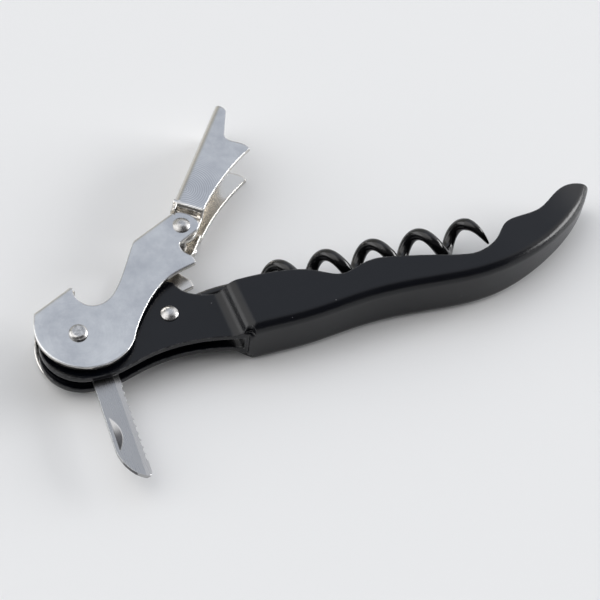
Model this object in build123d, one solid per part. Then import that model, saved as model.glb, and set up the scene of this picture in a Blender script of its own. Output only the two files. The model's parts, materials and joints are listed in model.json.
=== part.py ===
"""Waiter's corkscrew with a two-stage lever, lying on its side.

Drawing frame: the main rivet's axis is the Z axis and Z = 0 is the tool's mid-plane. X runs from
the main rivet to the tail, and Y towards the open side that the lever lies over. The pieces are
moved to the row frame, whose origin is a point on the handle's lower flat side, when written.
"""
import os
from math import asin, cos, radians, sin, sqrt

from build123d import *

# ---- sheet, wire and plays -------------------------------------------------------------------
handle_sheet = 1.1        # painted steel sheet of the handle
lever_sheet = 0.95        # plated steel sheet of both lever stages
blade_thickness = 1.0
wire_diameter = 2.5       # coated steel wire of the worm
pivot_play = 0.05         # radial play of every turning piece on its rivet
side_play = 0.08          # sideways play beside every turning piece

# ---- handle ----------------------------------------------------------------------------------
handle_width = 11.4       # across the two side walls
handle_bend = 1.9         # outside radius of the bends along the spine
head_radius = 8.5         # round end of the two head plates
head_centre = (0.6, -0.9)
spine_front = 31.6        # where the spine starts
flare_start = 28.3        # the head plates open out into the side walls from here ...
flare_end = 33.5          # ... to here
tail_start = 84.0         # the side walls close in from here
tail_end = 114.5
tail_width = 4.4          # across the closed-in tail
spine_depth = 11.05       # outside of the spine at its front, below the main rivet
relief_radius = 1.25      # relief notch at each front corner of the spine ...
relief_reach = 2.5        # ... this far in from the side wall

# ---- rivets ----------------------------------------------------------------------------------
rivet_radius = 1.25
rivet_head_radius = 1.75
main_head_radius = 1.85   # the main rivet carries the levers and has larger heads ...
main_head_flat = 1.1      # ... that are flat as far out as this
rivet_rim = 0.25          # straight rim under the dome
rivet_dome = 0.6          # height of the dome over the rim
washer_radius = 3.4

# ---- worm, in its own frame: S along its axis from the worm rivet, T towards the lever ---------
worm_pivot = (18.8, 0.0)
worm_angle = -3.7
worm_offset = 4.06        # helix axis above the worm rivet
worm_pitch = 10.17
worm_radius = 2.68        # centre line of the wire from the helix axis
worm_start = 21.1         # the even turns start here ...
worm_phase = -85.0        # ... at this angle from the side of the levers
worm_overrun = 4.1        # the point reaches this far past where the side walls close in
lead_in = 5.4             # the wire leaves the axis for the helix over this length
lead_turn = 190.0         # ... and turns by this angle as it does
tip_turns = 0.34          # the wire thins to its point over this part of a turn
tip_radius = 0.25
eye_opening = 8.0         # the eye's end stops short of the shank by this angle

# ---- first lever stage, in its own frame: A along its back, B up to its back --------------------
stage1_width = 9.1
stage1_angle = 23.3       # of its back line, in the open pose that the pieces are drawn in
stage1_back = 9.65        # back line from the main rivet
stage1_bend = 1.2
stage1_end_radius = 10.05
stage1_end_centre = (2.5, 0.6)
lip_start = -2.9          # the web over the head runs from here ...
lip_end = 6.0             # ... to here
lip_tongue = 1.0          # and its middle this far on, to catch a crown cap
tongue_corner = 0.8
arm_end = 31.4            # the arm's web stops here, clear of the second stage's ears
hinge_reach = (33.05, 5.65)   # step hinge from the main rivet
ear_radius = 3.3

# ---- second lever stage, in its own frame: U along its back from the step hinge, V up to it -----
stage2_width = 11.3
stage2_angle = 50.9
stage2_back = 3.3
stage2_bend = 1.6
joggle_start = 3.7        # the inner ears step out to the full width from here ...
joggle_foot = 0.3         # ... round this radius, straight out ...
joggle_brow = 1.05        # ... and back along the arm round this one
web_lap = 2.2             # the back runs on over the step and stops the stage when it opens
claw_end = 32.3
tooth_reach = 23.6
inner_ear_radius = 3.2

# ---- knife, in its own frame: U along the blade, V towards the cutting edge --------------------
knife_angle = -93.7
tang_radius = 7.2
edge_offset = 5.74
back_offset = 0.45
blade_length = 31.8
blade_grind = 1.3         # width of the ground bevel
tooth_pitch = 1.6
tooth_depth = 0.32
serration = (11.0, 29.4)
nick_span = (17.6, 25.4)
nick_inset = 0.7          # from the back of the blade
nick_width = 1.5
nick_depth = 0.4          # at the straight wall, running out to nothing

# ---- worked out ------------------------------------------------------------------------------
head_gap = wire_diameter + 2 * side_play
head_half = head_gap / 2 + handle_sheet
stage1_inner = stage1_width / 2 - lever_sheet
ear_half = stage1_inner - side_play
joggle_end = joggle_start + joggle_foot + joggle_brow
bore_radius = rivet_radius + pivot_play
worm_turns = (tail_start + worm_overrun - worm_pivot[0] - worm_start) / worm_pitch - tip_turns
rest_point = (42.0, -4.3)     # the row frame's origin on the handle's lower side
far = 200.0


def turned(point, angle):
    """A point turned about the origin, in degrees."""
    c, s = cos(radians(angle)), sin(radians(angle))
    return (point[0] * c - point[1] * s, point[0] * s + point[1] * c)


hinge_pivot = turned(hinge_reach, stage1_angle)


def slab(edges, half):
    """The flat shape inside a closed chain of edges, as a plate from -half to +half along Z."""
    return Pos(0, 0, -half) * extrude(make_face(Wire(edges)), 2 * half, dir=(0, 0, 1))


def block(x, y, z):
    """A box from three (low, high) pairs."""
    size = [high - low for low, high in (x, y, z)]
    centre = [(low + high) / 2 for low, high in (x, y, z)]
    return Pos(*centre) * Box(*size)


def post(radius, half, at=(0, 0)):
    """A round bar along Z, centred on the mid-plane."""
    return Pos(at[0], at[1], 0) * Cylinder(radius, 2 * half)


def chain(*points):
    """Straight edges from point to point."""
    return [Line(a, b) for a, b in zip(points, points[1:])]


def beside(edge, distance):
    """The curve a fixed distance to the left of a flat edge."""
    count = {GeomType.LINE: 1, GeomType.CIRCLE: 2}.get(edge.geom_type, 24)
    shares = [i / count for i in range(count + 1)]
    points = [edge @ share + (edge % share).rotate(Axis.Z, 90) * distance for share in shares]
    if count == 1:
        return Line(*points)
    if count == 2:
        return ThreePointArc(*points)
    return curve(points, edge % 0, edge % 1)


def width_plan(edges, start, end):
    """A tall block as wide as a plan outline, given by the edges of its +Z side."""
    first, last = edges[0] @ 0, edges[-1] @ 1
    side = [Line((start, first.Y), first), *edges, Line(last, (end, last.Y))]
    ends = chain((end, last.Y), (end, 0), (start, 0), (start, first.Y))
    upper = slab(side + ends, far / 4)
    return Rot(90, 0, 0) * (upper + mirror(upper, Plane.XZ))


def curve(points, start, end):
    """A smooth curve through points, leaving along one direction and arriving along another."""
    return Spline(*points, tangents=(start, end), tangent_scalars=(1, 1))


def s_bend(start, end):
    """Two equal arcs that leave one point and arrive at the other along X."""
    middle = ((start[0] + end[0]) / 2, (start[1] + end[1]) / 2)
    first = TangentArc(start, middle, tangent=(1, 0))
    return [first, TangentArc(middle, end, tangent=first % 1)]


def dome(head, rim):
    """Half profile of a domed rivet head, from the axis to its rim."""
    ball = (head ** 2 + rivet_dome ** 2) / (2 * rivet_dome)
    lean = asin(head / ball) / 2
    bulge = (ball * sin(lean), rim + rivet_dome - ball + ball * cos(lean))
    return [ThreePointArc((0, rim + rivet_dome), bulge, (head, rim))]


def flat_top(head, rim):
    """Half profile of a flat rivet head with a rounded edge, from the axis to its rim."""
    shoulder = (main_head_flat, rim + rivet_dome)
    return [Line((0, rim + rivet_dome), shoulder), TangentArc(shoulder, (head, rim), tangent=(1, 0))]


def rivet(grip, head=rivet_head_radius, top=dome):
    """A rivet that grips from -grip to +grip, with the same head at both ends."""
    shaft = rivet_radius
    rim = grip + rivet_rim
    upper = top(head, rim)
    lower = [mirror(edge, Plane.XZ).edge() for edge in upper]
    side = chain((head, rim), (head, grip), (shaft, grip), (shaft, -grip), (head, -grip), (head, -rim))
    axis = Line((0, -rim - rivet_dome), (0, rim + rivet_dome))
    return revolve(Rot(90, 0, 0) * make_face(Wire([*upper, *side, *lower, axis])), Axis.Z)


def washer_pair(low, high):
    """Two flat washers on the rivet axis, one each side of the mid-plane."""
    ring = Cylinder(washer_radius, high - low) - Cylinder(rivet_radius, high - low)
    upper = Pos(0, 0, (low + high) / 2) * ring
    return Compound([upper.solid(), mirror(upper, Plane.XY).solid()])


# ---- handle ----------------------------------------------------------------------------------
def on_body(share, y):
    """A point of the handle's side view, by its share of the way from the spine's front to the tail."""
    return (spine_front + share * (tail_start - spine_front), y)


def on_tail(share, y):
    """A point of the side view, by its share of the tail's length."""
    return (tail_start + share * (tail_end - tail_start), y)


def handle_back():
    """Outside of the spine and its straight run-out under the head."""
    run_out = (spine_front - 17.6, -spine_depth - 0.75)
    grip = [(spine_front, -spine_depth), on_body(0.237, -11.55), on_body(0.496, -10.95),
            on_body(0.733, -11.9), on_body(0.981, -13.0)]
    hook = [on_tail(0.334, -11.0), on_tail(0.643, -6.9), on_tail(0.869, -2.0), on_tail(0.993, 2.4),
            on_tail(1.147, 10)]
    return [Line((-far / 10, run_out[1]), run_out), curve([run_out, *grip, *hook], (1, 0), (0.5, 0.9))]


def handle_plan():
    """Half the handle's width from the head to the tail."""
    half = handle_width / 2
    flare = s_bend((flare_start, head_half), (flare_end, half))
    drop = half - tail_width / 2
    closing = curve([(tail_start, half), on_tail(0.426, half - drop * 0.24),
                     on_tail(0.754, half - drop * 0.56), on_tail(0.918, half - drop * 0.89),
                     (tail_end, half - drop)], (1, 0), (1, 0))
    return [*flare, Line((flare_end, half), (tail_start, half)), closing]


def handle_block(inset):
    """The handle's outside as a solid bar with rounded lower edges, or its inside when inset."""
    low = [beside(edge, inset) for edge in handle_back()]
    first, last = low[0] @ 0, low[-1] @ 1
    around = chain((last.X, last.Y), (last.X, far / 5), (first.X, far / 5), (first.X, first.Y))
    plan = width_plan([beside(edge, -inset) for edge in handle_plan()], -far / 5, far)
    bar = slab([*low, *around], far / 4) & plan
    return fillet(spine_edges(bar), handle_bend - inset)


def spine_edges(bar):
    """The two long edge chains between a bar's lower face and its sides."""
    lower = [f for f in bar.faces() if f.normal_at(f.center()).Y < -0.3]
    return [e for f in lower for e in f.edges() if abs((e @ 0.5).Z) > 0.5 and abs((e % 0.5).Z) < 0.9]


def head_outline():
    """Side view of the head plates, closed far below and behind for the rest of the handle."""
    cx, cy = head_centre

    def on_end(angle):
        x, y = turned((head_radius, 0), angle)
        return (cx + x, cy + y)

    round_end = ThreePointArc(on_end(75), on_end(170), on_end(265))
    lip = (spine_front, 0.75 - spine_depth)
    lower = curve([on_end(265), (3.5, -9.55), (7, -8.95), (12, -7.8), (17, -7.35), (22, -7.65),
                   (27, -8.65), lip], turned((0, 1), 265), (1, -0.5))
    hollow = on_body(0.931, -7.9)
    end = on_tail(1.082, -1)
    tail = curve([end, on_tail(0.928, 3.3), on_tail(0.807, 3.2), on_tail(0.669, 1.2), on_tail(0.525, -1.3),
                  on_tail(0.357, -2.0), on_tail(0.239, -2.8), on_tail(0.128, -5.8), on_tail(0.016, -7.6),
                  hollow], (-0.6, 1), (-1, 0.2))
    belly = curve([hollow, on_body(0.796, -5.8), on_body(0.645, -3.5), on_body(0.571, -2.8),
                   on_body(0.49, -3.5), on_body(0.426, -4.1), on_body(0.336, -1.7), on_body(0.239, 0.2),
                   on_body(0.135, 1.05), on_body(0.055, 1.3), (28.4, 1.7), (25.4, 2.75), (23.2, 4.4),
                   (22.2, 6.6)], (-1, 0.2), (-0.2, 1))
    crown = curve([(22.2, 6.6), (20.3, 7.6), (16, 6.9), (11, 5.7), (6.5, 6.0), on_end(75)],
                  (-0.3, 1), turned((0, 1), 75))
    beyond = end[0] + tail_width
    below = chain(lip, (spine_front, -far / 10), (beyond, -far / 10), (beyond, end[1]), end)
    return [round_end, lower, *below, tail, belly, crown]


def handle_shell():
    """One bent sheet: two head plates, the flare, and a channel closed by the spine."""
    shell = handle_block(0) - handle_block(handle_sheet)
    shell = shell & slab(head_outline(), far / 8)
    shell = shell - post(rivet_radius, head_half * 2) - post(rivet_radius, head_half * 2, worm_pivot)
    inner = handle_width / 2 - relief_reach
    relief = post(relief_radius, handle_width, (spine_front - 0.2, 0.3 - spine_depth))
    return shell - (relief - block((0, far), (-far, far), (-inner, inner)))


# ---- first lever stage -------------------------------------------------------------------------
def bent_bar(half, back, bend, start, end):
    """A long bar along X with its two upper edges rounded."""
    bar = block((start, end), (-far / 5, back), (-half, half))
    return fillet(bar.edges().filter_by(Axis.X).group_by(Axis.Y)[-1], bend)


def u_channel(width, back, bend, start, end):
    """A channel bent from the lever sheet, open downwards."""
    outside = bent_bar(width / 2, back, bend, start, end)
    inside = bent_bar(width / 2 - lever_sheet, back - lever_sheet, bend - lever_sheet, start - 1, end + 1)
    return outside - Pos(0, -1, 0) * inside - inside


def stage1_outline():
    """Side view of a first stage plate: round head, crown notch, arm, ear and lower claw."""
    cx, cy = stage1_end_centre
    hx, hy = hinge_reach
    back = stage1_back

    def on_end(angle):
        x, y = turned((stage1_end_radius, 0), angle)
        return (cx + x, cy + y)

    lip = [Line((lip_start, back), (lip_end, back)), Line((lip_end, back), (lip_end + 0.4, back - 0.9))]
    crown = curve([(lip_end + 0.4, back - 0.9), (5.55, 7.4), (5.3, 5.6), (6.0, 3.5), (7.7, 2.3),
                   (9.9, 2.05), (12.2, 2.7), (16.8, 5.2), (20.9, 7.8), (24.3, back)], (-0.8, -1), (1, 0.35))
    shoulder, brow = (hx + 0.2, back), (hx + ear_radius * 0.52, hy + ear_radius * 0.9)
    foot = (hx + ear_radius * 0.5, hy - ear_radius * 0.87)
    arm = chain((24.3, back), shoulder, brow)
    ear = curve([brow, (hx + ear_radius * 0.76, hy + ear_radius * 0.63), (hx + ear_radius, hy),
                 (hx + ear_radius * 0.91, hy - ear_radius * 0.56), foot], (1, -0.8), (-1, -0.1))
    under = Line(foot, (hx - 2.9, hy - 2.9))
    throat = curve([(hx - 2.9, hy - 2.9), (28.8, 0.7), (29.25, -1.4), (28.7, -2.9)], (-1, 0), (-0.75, -1))
    belly = curve([(28.7, -2.9), (25.2, -2.2), (22.3, -1.95), (19.0, -2.4), (15.3, -3.6), (11.4, -5.45),
                   (8.9, -6.95), (7.2, -8.15), on_end(-78)], (-1, 0.2), turned((0, -1), -78))
    round_end = ThreePointArc(on_end(-78), on_end(-130), on_end(-190))
    nose = curve([on_end(-190), (-6.75, 4.5), (-4.9, 7.4), (lip_start, back)],
                 turned((0, -1), -190), (0.6, 1))
    return [*lip, crown, *arm, ear, under, throat, belly, round_end, nose]


def first_lever_stage():
    """Channel from bent sheet with a lip over the head, and two ears that hold the step hinge."""
    stage = u_channel(stage1_width, stage1_back, stage1_bend, -far / 8, far / 3)
    stage = stage & slab(stage1_outline(), far / 8)
    stage = stage - block((arm_end, far), (stage1_back - 2, far), (-stage1_inner, stage1_inner))
    reach, half = lip_end + lip_tongue, stage1_width / 2 - stage1_bend
    tongue = block((lip_end - lip_tongue, reach), (stage1_back - lever_sheet, stage1_back), (-half, half))
    tongue = fillet(tongue.edges().filter_by(Axis.Y).group_by(Axis.X)[-1], tongue_corner)
    stage = stage + tongue - post(bore_radius, far / 8) - post(rivet_radius, far / 8, hinge_reach)
    return Rot(0, 0, stage1_angle) * stage


# ---- second lever stage ------------------------------------------------------------------------
def stage2_outline():
    """Side view of a second stage plate: inner ear, arm, prong and lower claw tooth."""
    r = inner_ear_radius
    back = stage2_back
    ear = ThreePointArc((0, -r), (-r, 0), (0, r))
    top = chain((0, r), (joggle_end, back), (claw_end + 0.15, back))
    prong = curve([(claw_end + 0.15, back), (32.1, 2.0), (31.2, 0.45)], (-0.1, -1), (-1, -0.5))
    under = Line((31.2, 0.45), (25.2, -1.1))
    notch = curve([(25.2, -1.1), (24.25, -1.7), (tooth_reach + 0.3, -3.2), (tooth_reach + 0.35, -5.6),
                   (tooth_reach - 0.2, -7.2)], (-1, -0.26), (-0.4, -1))
    belly = curve([(tooth_reach - 0.2, -7.2), (20.8, -6.15), (16, -4.75), (10.4, -3.65), (5, -r), (0, -r)],
                  (-1, 0.5), (-1, 0))
    return [ear, *top, prong, under, notch, belly]


def joggle():
    """Half the plan of the step from the inner ears to the arm: two bends and a face between."""
    foot = (joggle_start + joggle_foot, ear_half + joggle_foot)
    brow = (foot[0], stage2_width / 2 - joggle_brow)
    return [TangentArc((joggle_start, ear_half), foot, tangent=(1, 0)), Line(foot, brow),
            TangentArc(brow, (joggle_end, stage2_width / 2), tangent=(0, 1))]


def second_lever_stage():
    """Wide channel whose ears step in to sit between those of the first stage."""
    step = joggle()
    walls = width_plan(step, -10, 20) - width_plan([beside(edge, -lever_sheet) for edge in step], -11, 21)
    walls = walls & block((-5, joggle_end), (-20, stage2_back + 1), (-20, 20))
    arm = u_channel(stage2_width, stage2_back, stage2_bend, joggle_end, far / 3)
    lap = bent_bar(stage2_width / 2, stage2_back, stage2_bend, joggle_end - web_lap, joggle_end)
    lap = lap & block((0, far), (stage2_back - lever_sheet, far), (-far, far))
    stage = ((walls + arm) & slab(stage2_outline(), far / 8)) + lap - post(bore_radius, far / 8)
    return Pos(*hinge_pivot, 0) * Rot(0, 0, stage2_angle) * stage


# ---- knife -------------------------------------------------------------------------------------
def knife_outline():
    """Side view of the knife: round tang and a straight-edged blade with a round tip."""
    start = sqrt(tang_radius ** 2 - edge_offset ** 2)
    heel = sqrt(tang_radius ** 2 - back_offset ** 2)
    width = edge_offset - back_offset
    edge = Line((start, edge_offset), (blade_length - 1.1, edge_offset))
    nose = ThreePointArc((blade_length - 1.1, edge_offset), (blade_length - 0.1, edge_offset - 0.45),
                         (blade_length - 0.2, edge_offset - 1.5))
    tip = curve([(blade_length - 0.2, edge_offset - 1.5), (blade_length - 2.8, back_offset + width * 0.24),
                 (blade_length - 7.3, back_offset)], (-0.5, -1), (-1, 0))
    back = Line((blade_length - 7.3, back_offset), (heel, back_offset))
    tang = ThreePointArc((heel, back_offset), (-tang_radius, 0), (start, edge_offset))
    return [edge, nose, tip, back, tang]


def ground_bevel():
    """Long wedge cut from the cutting edge on the +Z face."""
    half = blade_thickness / 2
    low, high = edge_offset - blade_grind, edge_offset + 1
    thin = half * 0.16
    beyond = thin - (half - thin) / blade_grind
    section = Polyline((low, half), (high, beyond), (high, half + 1), (low, half + 1), close=True)
    wedge = Plane.YZ * make_face(section)
    return Pos(tang_radius * 0.72, 0, 0) * extrude(wedge, blade_length)


def serrations():
    """A row of round scallops along the cutting edge."""
    chord = tooth_pitch * 0.92
    radius = (chord ** 2 / 4 + tooth_depth ** 2) / (2 * tooth_depth)
    count = int((serration[1] - serration[0]) / tooth_pitch)
    line = edge_offset + radius - tooth_depth
    spots = [(serration[0] + tooth_pitch * (i + 0.5), line) for i in range(count)]
    return [post(radius, blade_thickness * 2, spot) for spot in spots]


def nail_nick():
    """Scoop in the +Z face near the back of the blade: a straight wall and a floor that runs out."""
    reach = (nick_span[1] - nick_span[0]) / 2
    rim = (reach ** 2 + nick_depth ** 2) / (2 * nick_depth)
    cutter = Rot(-90, 0, 0) * Cone(rim, rim - 2 * nick_depth, 2 * nick_width)
    axis = blade_thickness / 2 + rim - nick_depth
    return Pos(sum(nick_span) / 2, back_offset + nick_inset + nick_width, axis) * cutter


def knife_blade():
    """Foil cutter blade with a ground, serrated edge and a nail nick."""
    knife = slab(knife_outline(), blade_thickness / 2) - ground_bevel() - mirror(ground_bevel(), Plane.XY)
    knife = knife - serrations() - nail_nick() - post(bore_radius, blade_thickness)
    return Rot(0, 0, knife_angle) * knife


# ---- worm --------------------------------------------------------------------------------------
def helix_point(turn):
    """Centre of the wire after so many degrees of even turns; before zero it leaves the axis."""
    share = 1 + turn / lead_turn
    rise = worm_radius if turn >= 0 else worm_radius * share ** 2 * (3 - 2 * share)
    reach = worm_start + (worm_pitch * turn / 360 if turn >= 0 else lead_in * turn / lead_turn)
    angle = radians(worm_phase + turn)
    return (reach, worm_offset + rise * cos(angle), rise * sin(angle))


def helix_heading(turn):
    """Direction of the wire after so many degrees of turns."""
    return (Vector(*helix_point(turn + 0.5)) - Vector(*helix_point(turn - 0.5))).normalized()


def across(point, heading, radius):
    """A round section set square to a heading."""
    return Plane(origin=point, z_dir=heading) * Circle(radius)


def worm():
    """Coiled wire: an eye round its rivet, a cranked shank, right-handed turns and a point."""
    wire = wire_diameter / 2
    loop = bore_radius + wire
    turns = 360 * worm_turns
    last = turns + 360 * tip_turns
    shank_end = worm_start - lead_in
    open_end = turned((loop, 0), -eye_opening)
    eye = ThreePointArc(open_end, (-loop, 0), (0, loop))
    crank = s_bend((0, loop), (shank_end - 2, worm_offset))
    shank = Line((shank_end - 2, worm_offset), (shank_end, worm_offset))
    count = round(turns / 30)
    stops = [lead_turn * (i / 8 - 1) for i in range(8)] + [turns * i / count for i in range(count + 1)]
    coil = curve([helix_point(t) for t in stops], (1, 0, 0), helix_heading(turns))
    point = curve([helix_point(turns + (last - turns) * i / 6) for i in range(7)],
                  helix_heading(turns), helix_heading(last))
    body = sweep(across(eye @ 0, eye % 0, wire), path=Wire([eye, *crank, shank, coil]))
    ends = [across(point @ 0, point % 0, wire), across(point @ 1, point % 1, tip_radius)]
    whole = body + sweep(ends, path=point, multisection=True)
    return Pos(*worm_pivot, 0) * Rot(0, 0, worm_angle) * whole


# ---- pieces ------------------------------------------------------------------------------------
def main_rivet():
    return rivet(stage1_width / 2 + side_play, main_head_radius, flat_top)


def worm_rivet():
    return Pos(*worm_pivot, 0) * rivet(head_half)


def hinge_rivet():
    return Pos(*hinge_pivot, 0) * rivet(stage1_width / 2)


def knife_washers():
    return washer_pair(blade_thickness / 2 + side_play, head_gap / 2)


def lever_washers():
    return washer_pair(head_half, stage1_inner - side_play)


PIECES = [handle_shell, main_rivet, worm_rivet, hinge_rivet, first_lever_stage, second_lever_stage,
          worm, knife_blade, knife_washers, lever_washers]

if __name__ == "__main__":
    os.makedirs("parts", exist_ok=True)
    to_row = Pos(-rest_point[0], -rest_point[1], handle_width / 2)
    for piece in PIECES:
        export_step(to_row * piece(), os.path.join("parts", piece.__name__ + ".step"))
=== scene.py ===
"""Waiter's corkscrew, opened on a pale floor: finishes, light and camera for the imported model."""
import json

import bpy
import numpy as np
from mathutils import Matrix, Vector


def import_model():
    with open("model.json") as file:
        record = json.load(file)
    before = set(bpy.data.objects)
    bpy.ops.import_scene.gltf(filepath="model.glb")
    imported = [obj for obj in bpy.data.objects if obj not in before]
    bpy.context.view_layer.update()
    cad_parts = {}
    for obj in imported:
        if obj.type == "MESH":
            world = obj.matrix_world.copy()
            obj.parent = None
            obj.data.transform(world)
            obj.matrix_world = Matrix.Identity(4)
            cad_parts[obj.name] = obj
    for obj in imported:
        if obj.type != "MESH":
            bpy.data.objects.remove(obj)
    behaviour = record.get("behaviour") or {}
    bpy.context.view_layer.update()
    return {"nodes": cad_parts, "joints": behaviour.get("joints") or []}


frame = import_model()
NODES = frame["nodes"]
JOINT_AT = {joint["name"]: joint["pos_m"] for joint in frame["joints"]}
PIVOT = JOINT_AT["lever_pivot"]      # the main rivet's axis, at the tool's mid-plane
HINGE = JOINT_AT["step_hinge"]       # between the two lever stages


# ---- node graph helpers ------------------------------------------------------------------------
class Finish:
    """A material with short helpers for its nodes and links."""

    def __init__(self, name):
        self.material = bpy.data.materials.new(name)
        self.material.use_nodes = True
        self.tree = self.material.node_tree
        self.tree.nodes.clear()
        self.out = self.tree.nodes.new("ShaderNodeOutputMaterial")

    def node(self, kind, **settings):
        made = self.tree.nodes.new(kind)
        for key, value in settings.items():
            setattr(made, key, value)
        return made

    def join(self, source, target):
        self.tree.links.new(source, target)

    def feed(self, target, value):
        """Links a socket to a socket, or writes a plain value on it."""
        if isinstance(value, bpy.types.NodeSocket):
            self.join(value, target)
        else:
            target.default_value = value

    def shader(self, **inputs):
        """The finish's Principled shader, joined to the output."""
        made = self.node("ShaderNodeBsdfPrincipled")
        for name, value in inputs.items():
            self.feed(made.inputs[name.replace("_", " ")], value)
        self.join(made.outputs[0], self.out.inputs[0])

    def place(self, scale=(1, 1, 1), move=(0, 0, 0), turn=(0, 0, 0)):
        """Object coordinates: stretched, then turned, then moved."""
        coords = self.node("ShaderNodeTexCoord")
        mapping = self.node("ShaderNodeMapping")
        mapping.inputs["Location"].default_value = move
        mapping.inputs["Rotation"].default_value = turn
        mapping.inputs["Scale"].default_value = scale
        self.join(coords.outputs["Object"], mapping.inputs[0])
        return mapping.outputs[0]

    def split(self, where):
        """The three coordinates of a place."""
        made = self.node("ShaderNodeSeparateXYZ")
        self.join(where, made.inputs[0])
        return made.outputs

    def noise(self, where, scale, detail=2.0, rough=0.5):
        made = self.node("ShaderNodeTexNoise")
        self.join(where, made.inputs["Vector"])
        made.inputs["Scale"].default_value = scale
        made.inputs["Detail"].default_value = detail
        made.inputs["Roughness"].default_value = rough
        return made.outputs[0]

    def remap(self, value, low, high, to_low=0.0, to_high=1.0, smooth=False):
        """The value's place between low and high, as a place between to_low and to_high."""
        made = self.node("ShaderNodeMapRange")
        if smooth:
            made.interpolation_type = "SMOOTHSTEP"
        self.feed(made.inputs[0], value)
        for index, number in enumerate((low, high, to_low, to_high)):
            made.inputs[index + 1].default_value = number
        return made.outputs[0]

    def math(self, operation, a, b=0.0, clamp=False):
        made = self.node("ShaderNodeMath", operation=operation, use_clamp=clamp)
        self.feed(made.inputs[0], a)
        self.feed(made.inputs[1], b)
        return made.outputs[0]

    def plus(self, a, b, clamp=False):
        return self.math("ADD", a, b, clamp)

    def minus(self, a, b):
        return self.math("SUBTRACT", a, b)

    def times(self, a, b):
        return self.math("MULTIPLY", a, b)

    def mix(self, share, a, b):
        """Colour between a and b."""
        made = self.node("ShaderNodeMix", data_type="RGBA")
        self.feed(made.inputs[0], share)
        self.feed(made.inputs[6], a)
        self.feed(made.inputs[7], b)
        return made.outputs[2]

    def bump(self, height, strength, distance, over=None):
        """Shading normal tilted by a height, over another normal if one is given."""
        made = self.node("ShaderNodeBump")
        made.inputs["Strength"].default_value = strength
        made.inputs["Distance"].default_value = distance
        self.join(height, made.inputs["Height"])
        if over is not None:
            self.join(over, made.inputs["Normal"])
        return made.outputs[0]

    def rounded(self, radius):
        """Normal that turns smoothly over the sheet's edges, within a radius."""
        made = self.node("ShaderNodeBevel", samples=6)
        made.inputs["Radius"].default_value = radius
        return made.outputs[0]

    def edge(self, soft):
        """1 along an edge and 0 on a flat: how far the rounded normal leans from the surface's."""
        surface = self.node("ShaderNodeNewGeometry")
        dot = self.node("ShaderNodeVectorMath", operation="DOT_PRODUCT")
        self.join(soft, dot.inputs[0])
        self.join(surface.outputs["Normal"], dot.inputs[1])
        return self.remap(dot.outputs["Value"], 0.995, 0.85)

    def distance(self, centre):
        """Distance from the line through a point along Z."""
        flatten = self.node("ShaderNodeVectorMath", operation="MULTIPLY")
        flatten.inputs[1].default_value = (1.0, 1.0, 0.0)
        self.join(self.place(move=(-centre[0], -centre[1], 0.0)), flatten.inputs[0])
        length = self.node("ShaderNodeVectorMath", operation="LENGTH")
        self.join(flatten.outputs[0], length.inputs[0])
        return length.outputs["Value"]

    def specks(self, scale, size, share):
        """Sparse round specks: near a cell's centre, in the share of cells drawn by its colour."""
        cell = self.node("ShaderNodeTexVoronoi")
        self.join(self.place(), cell.inputs["Vector"])
        cell.inputs["Scale"].default_value = scale
        near = self.remap(cell.outputs["Distance"], size, size * 0.5)
        colour = self.node("ShaderNodeSeparateColor")
        self.join(cell.outputs["Color"], colour.inputs[0])
        return self.times(near, self.math("LESS_THAN", colour.outputs[0], share))

    def scratches(self, turn, density, share):
        """Fine straight scratches along Y: the crests of a long, narrow noise.

        The stretch comes before the turn, so the turn draws other scratches the same way round.
        """
        narrow = self.place(scale=(density, density * 0.022, density), turn=(0, 0, turn))
        return self.remap(self.noise(narrow, 1.0, 2.0), 1.0 - share, 1.0 - share * 0.82)


def rgb(r, g, b):
    return (r, g, b, 1.0)


# ---- finishes ----------------------------------------------------------------------------------
def black_paint():
    """Satin black paint: orange peel, handling marks and dust, thin and chipped on the edges, which
    also carry a painted highlight.
    """
    f = Finish("black_paint")
    where = f.place()
    peel = f.noise(where, 2100.0)
    drift = f.noise(where, 70.0, 3.0)
    rub = f.noise(f.place(scale=(1.0, 3.2, 3.2), turn=(0, 0, 0.12)), 130.0, 4.0, 0.62)
    soft = f.rounded(0.00045)
    edge = f.edge(soft)
    thin_paint_and_highlight = f.times(edge, f.remap(f.noise(where, 800.0, 3.0), 0.40, 0.62, 0.15, 1.0))
    chip = f.times(edge, f.remap(f.noise(where, 2600.0), 0.66, 0.70))
    dust = f.specks(620.0, 0.10, 0.06)
    colour = f.mix(drift, rgb(0.0012, 0.0016, 0.0034), rgb(0.0022, 0.0028, 0.0050))
    # edges: thin worn paint, made lighter still as a painted highlight
    colour = f.mix(thin_paint_and_highlight, colour, rgb(0.10, 0.10, 0.105))
    colour = f.mix(chip, colour, rgb(0.22, 0.22, 0.22))
    colour = f.mix(dust, colour, rgb(0.10, 0.10, 0.105))
    rough = f.plus(f.remap(rub, 0.30, 0.72, 0.17, 0.27), f.times(dust, 0.3), clamp=True)
    height = f.plus(peel, f.times(dust, 1.2))
    f.shader(Base_Color=colour, Roughness=rough, Specular_IOR_Level=0.36,
             Normal=f.bump(height, 0.05, 0.00005, soft))
    return f.material


def wire_coat():
    """Glossy black coat on the worm's wire, with faint rubbing and dust."""
    f = Finish("black_wire_coat")
    where = f.place()
    peel = f.noise(where, 1500.0)
    rub = f.noise(f.place(scale=(1.0, 2.4, 2.4)), 320.0, 4.0, 0.6)
    dust = f.specks(700.0, 0.09, 0.05)
    colour = f.mix(f.noise(where, 160.0), rgb(0.0022, 0.0023, 0.0028), rgb(0.0042, 0.0043, 0.0050))
    colour = f.mix(f.remap(rub, 0.60, 0.74, 0.0, 0.8), colour, rgb(0.018, 0.018, 0.019))
    colour = f.mix(dust, colour, rgb(0.10, 0.10, 0.10))
    f.shader(Base_Color=colour, Roughness=f.remap(rub, 0.30, 0.70, 0.12, 0.22),
             Normal=f.bump(peel, 0.07, 0.00005))
    return f.material


FACE_SKIN = 0.0002                  # how far under an outer face still counts as on it


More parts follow.
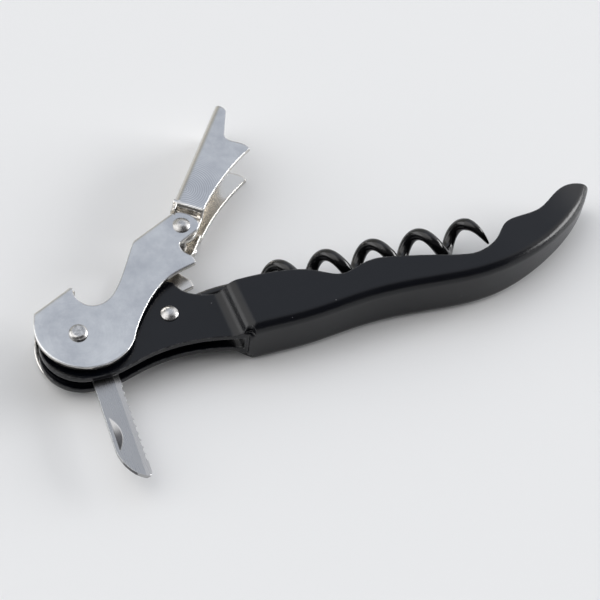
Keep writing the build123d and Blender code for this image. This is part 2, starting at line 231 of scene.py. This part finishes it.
def bright_plate(name, centre, half, pitch, inner, outer, depth):
    """Nickel and chrome plate over tumbled sheet, with turning rings round a point.

    The rings are a sine of an uneven distance from the centre, of one pitch, and fade out between
    the inner and outer radius. They lie on the two outer faces, half the stage's width from its
    middle. Inside the channel the chrome is thin, and the warmer nickel shows through.
    """
    f = Finish(name)
    where = f.place()
    away = f.distance(centre)
    uneven = f.plus(away, f.times(f.noise(where, 260.0), pitch * 0.8))
    ring = f.math("SINE", f.times(uneven, 2 * np.pi / pitch))
    from_middle = f.math("ABSOLUTE", f.split(f.place(move=(0.0, 0.0, -PIVOT[2])))["Z"])
    outside = f.math("GREATER_THAN", from_middle, half - FACE_SKIN)
    reach = f.times(f.remap(away, inner, outer, 1.0, 0.0, smooth=True), outside)
    rings = f.times(ring, reach)
    cloud = f.noise(where, 150.0, 5.0, 0.62)
    mottle = f.noise(where, 900.0, 3.0, 0.6)
    marks = f.math("MAXIMUM", f.scratches(0.5, 9000.0, 0.30), f.scratches(-0.9, 8000.0, 0.30))
    edge = f.edge(f.rounded(0.0002))
    colour = f.mix(f.remap(cloud, 0.32, 0.68), rgb(0.515, 0.52, 0.53), rgb(0.685, 0.685, 0.68))
    colour = f.mix(f.times(f.minus(1.0, outside), 0.75), colour, rgb(0.70, 0.665, 0.61))
    groove = f.times(f.remap(rings, -1.0, 1.0, 0.0, depth), reach)
    colour = f.mix(groove, colour, rgb(0.44, 0.45, 0.47))
    colour = f.mix(f.times(marks, 0.30), colour, rgb(0.80, 0.80, 0.80))
    # near-white along the sheet's edges: a painted highlight
    colour = f.mix(f.times(edge, 0.8), colour, rgb(0.92, 0.92, 0.91))
    rough = f.remap(cloud, 0.30, 0.70, 0.12, 0.20)
    rough = f.plus(rough, f.remap(mottle, 0.35, 0.65, -0.02, 0.03))
    rough = f.minus(rough, f.times(edge, 0.06))
    height = f.plus(f.plus(mottle, f.times(cloud, 5.0)), f.times(rings, depth * 1.5))
    height = f.minus(height, f.times(marks, 0.5))
    f.shader(Base_Color=colour, Metallic=1.0, Roughness=rough,
             Normal=f.bump(height, 0.10, 0.00003, f.rounded(0.0005)))
    return f.material


def rivet_plate():
    """Set rivets: nickel over a head that the tool left slightly uneven, with painted shade in the
    hollows.
    """
    f = Finish("rivet_plate")
    where = f.place()
    dent = f.noise(where, 1500.0, 3.0, 0.6)
    fine = f.noise(where, 6000.0)
    # mottled tone, darker where the dents sink: painted shade in the hollows
    colour = f.mix(f.remap(dent, 0.35, 0.65), rgb(0.36, 0.355, 0.35), rgb(0.62, 0.61, 0.60))
    f.shader(Base_Color=colour, Metallic=1.0, Roughness=f.remap(fine, 0.30, 0.70, 0.20, 0.34),
             Normal=f.bump(f.plus(dent, f.times(fine, 0.15)), 0.35, 0.00006))
    return f.material


BLADE_TURN = np.radians(93.7)       # turns the blade's length from the main rivet onto +X
NICK_ACROSS = (0.0011, 0.0030)      # a band across the blade that takes in the nail nick
NICK_FLOOR = (0.00048, 0.00044)     # height over the blade's middle: dark starts, dark is full
NICK_PAINTED_SHADE = (0.0188, 0.0222)        # along the blade: dark starts, dark is full


def blade_steel():
    """Satin blade steel: grinding lines along Y, 3.7 degrees off the blade, and bright cut edges.

    The nail nick is darker towards the tip as painted shade: its share is worked out in the blade's
    own directions, along it, across it and through it, from the pivot.
    It has no lower limit and no far end, so the same strip is dark on the under face and at the
    tip's cut wall.
    """
    f = Finish("blade_steel")
    grain = f.noise(f.place(scale=(9000.0, 260.0, 9000.0), turn=(0, 0, 0.065)), 1.0, 3.0, 0.6)
    cos, sin = np.cos(BLADE_TURN), np.sin(BLADE_TURN)
    back = (-(PIVOT[0] * cos - PIVOT[1] * sin), -(PIVOT[0] * sin + PIVOT[1] * cos), -PIVOT[2])
    along, across, through = f.split(f.place(move=back, turn=(0, 0, BLADE_TURN)))
    nick = f.times(f.math("GREATER_THAN", across, NICK_ACROSS[0]),
                   f.math("LESS_THAN", across, NICK_ACROSS[1]))
    nick = f.times(nick, f.remap(through, *NICK_FLOOR))
    nick = f.times(nick, f.remap(along, *NICK_PAINTED_SHADE, 0.0, 0.92, smooth=True))
    cloud = f.noise(f.place(), 150.0, 3.0)
    marks = f.times(f.scratches(1.35, 5200.0, 0.29), 0.35)
    soft = f.rounded(0.00008)
    edge = f.edge(soft)
    colour = f.mix(cloud, rgb(0.37, 0.37, 0.375), rgb(0.43, 0.43, 0.43))
    colour = f.mix(f.times(f.remap(grain, 0.35, 0.65), 0.18), colour, rgb(0.33, 0.33, 0.34))
    colour = f.mix(f.math("MAXIMUM", marks, edge), colour, rgb(0.75, 0.75, 0.75))
    # painted shade in the nail nick, darkest towards the tip
    colour = f.mix(nick, colour, rgb(0.06, 0.06, 0.065))
    rough = f.minus(f.remap(grain, 0.30, 0.70, 0.24, 0.36), f.times(edge, 0.08))
    f.shader(Base_Color=colour, Metallic=1.0, Roughness=rough,
             Normal=f.bump(grain, 0.10, 0.00002, soft))
    return f.material


def washer_steel():
    """Plain stamped washers: dull zinc."""
    f = Finish("washer_steel")
    cloud = f.noise(f.place(), 500.0, 3.0)
    fine = f.noise(f.place(), 5000.0)
    f.shader(Base_Color=f.mix(cloud, rgb(0.50, 0.50, 0.51), rgb(0.66, 0.66, 0.67)), Metallic=1.0,
             Roughness=f.remap(cloud, 0.3, 0.7, 0.30, 0.42), Normal=f.bump(fine, 0.12, 0.00003))
    return f.material


def dress(material, *names):
    """Gives CAD nodes one finish all over."""
    for name in names:
        data = NODES[name].data
        data.materials.clear()
        data.materials.append(material)


RING_CENTRE = (HINGE[0] + 0.0036, HINGE[1] + 0.0077)      # of the second stage's turning rings
dress(black_paint(), "handle_shell")
dress(wire_coat(), "worm")
dress(bright_plate("first_plate", PIVOT, half=0.00455, pitch=0.0007,
                   inner=0.006, outer=0.020, depth=0.06), "first_lever_stage")
dress(bright_plate("second_plate", RING_CENTRE, half=0.00565, pitch=0.00046,
                   inner=0.0045, outer=0.0125, depth=0.9), "second_lever_stage")
dress(blade_steel(), "knife_blade")
dress(rivet_plate(), "main_rivet", "worm_rivet", "hinge_rivet")
dress(washer_steel(), "knife_washers", "lever_washers")


# ---- floor, light and camera -------------------------------------------------------------------
FLOOR_HALF = 1.5                           # from the middle of the floor to a side, in metres
SKY = (1.34, 1.34, 1.35)
PATCHES = [
    # towards, full within (cosine), gone past (cosine), colour
    ((-0.65, 0.40, 0.65), 0.80, 0.35, (0.78, 0.78, 0.78)),         # wide window, left and behind
    ((-0.1, 1.0, 0.10), 0.80, 0.62, (0.60, 0.60, 0.57)),           # warm grey wall behind, low
    ((-0.60, -0.62, 0.50), 0.92, 0.68, (0.12, 0.12, 0.12)),        # dark corner, left and near
    ((0.0, 0.1, 1.0), 0.96, 0.84, (0.80, 0.80, 0.80)),             # plain ceiling overhead
    ((0.294, 0.509, 0.809), 0.975, 0.80, (0.735, 0.782, 0.87)),    # grey-blue ceiling, back right
    ((0.985, -0.15, 0.02), 0.97, 0.90, (0.15, 0.15, 0.15)),        # dark doorway, low on the right
    ((0.25, -0.62, 0.72), 0.90, 0.58, (0.11, 0.11, 0.115)),        # dark room on the near side
]
LAMPS = [
    # name, place, size in metres, power in watts, colour
    ("key", (-1.95, 0.75, 2.70), (4.0, 4.0), 49.0, (1.0, 0.99, 0.98)),
    ("left_window", (-2.85, 1.50, 0.72), (3.0, 1.35), 24.0, (1.0, 1.0, 1.0)),
    ("right_strip", (2.80, -0.32, 0.95), (2.0, 1.10), 62.0, (1.0, 1.0, 1.0)),
]
EYE = (-0.1145, -0.2035, 0.3300)           # where the camera stands ...
EYE_RIGHT = (0.9185, -0.3846, 0.0920)      # ... which way its right side points ...
EYE_AHEAD = (0.2941, 0.5089, -0.8090)      # ... and which way it looks


def floor():
    """A flat pale sheet: a square grid of points at floor height."""
    side = np.linspace(-FLOOR_HALF, FLOOR_HALF, 4)
    x, y = np.meshgrid(side, side, indexing="ij")
    points = np.stack([x.ravel(), y.ravel(), np.zeros(x.size)], axis=1)
    index = np.arange(x.size).reshape(x.shape)
    faces = np.stack([index[:-1, :-1], index[1:, :-1], index[1:, 1:], index[:-1, 1:]], axis=-1)
    mesh = bpy.data.meshes.new("floor")
    mesh.from_pydata(points.tolist(), [], faces.reshape(-1, 4).tolist())
    mesh.update()
    sheet = bpy.data.objects.new("floor", mesh)
    bpy.context.scene.collection.objects.link(sheet)
    f = Finish("pale_floor")
    f.shader(Base_Color=rgb(0.82, 0.823, 0.828), Roughness=0.36, Specular_IOR_Level=0.20)
    mesh.materials.append(f.material)


def lamp(name, place, size, power, colour):
    """A rectangular soft light, turned to face the origin."""
    data = bpy.data.lights.new(name, "AREA")
    data.shape = "RECTANGLE"
    data.size, data.size_y = size
    data.energy = power
    data.color = colour
    made = bpy.data.objects.new(name, data)
    made.location = place
    made.rotation_euler = (-Vector(place)).to_track_quat("-Z", "Y").to_euler()
    bpy.context.scene.collection.objects.link(made)


def world():
    """An even studio sky with a few wide soft patches of another tone, each over the last."""
    made = bpy.data.worlds.new("studio")
    made.use_nodes = True
    nodes, join = made.node_tree.nodes, made.node_tree.links.new
    coords = nodes.new("ShaderNodeTexCoord")
    colour = None
    for towards, full, gone, tone in PATCHES:
        dot = nodes.new("ShaderNodeVectorMath")
        dot.operation = "DOT_PRODUCT"
        dot.inputs[1].default_value = Vector(towards).normalized()
        join(coords.outputs["Generated"], dot.inputs[0])
        share = nodes.new("ShaderNodeMapRange")
        share.interpolation_type = "SMOOTHSTEP"
        join(dot.outputs["Value"], share.inputs[0])
        share.inputs[1].default_value, share.inputs[2].default_value = gone, full
        mix = nodes.new("ShaderNodeMix")
        mix.data_type = "RGBA"
        mix.inputs[6].default_value = (*SKY, 1.0)
        mix.inputs[7].default_value = (*tone, 1.0)
        join(share.outputs[0], mix.inputs[0])
        if colour is not None:
            join(colour, mix.inputs[6])
        colour = mix.outputs[2]
    join(colour, nodes["Background"].inputs[0])
    bpy.context.scene.world = made


def camera():
    """120 mm lens, 0.4 m away, looking down on the tool at 54 degrees and leaning by 9."""
    data = bpy.data.cameras.new("camera")
    data.lens = 120.0
    data.sensor_width = 36.0
    data.clip_start = 0.01
    data.clip_end = 20.0
    ahead = Vector(EYE_AHEAD).normalized()
    right = Vector(EYE_RIGHT).normalized()
    right = (right - ahead * right.dot(ahead)).normalized()
    turn = Matrix((right, right.cross(ahead), -ahead)).transposed().to_4x4()
    made = bpy.data.objects.new("camera", data)
    made.matrix_world = Matrix.Translation(EYE) @ turn
    bpy.context.scene.collection.objects.link(made)
    bpy.context.scene.camera = made


floor()
world()
for row in LAMPS:
    lamp(*row)
camera()
bpy.context.scene.view_settings.view_transform = "Standard"
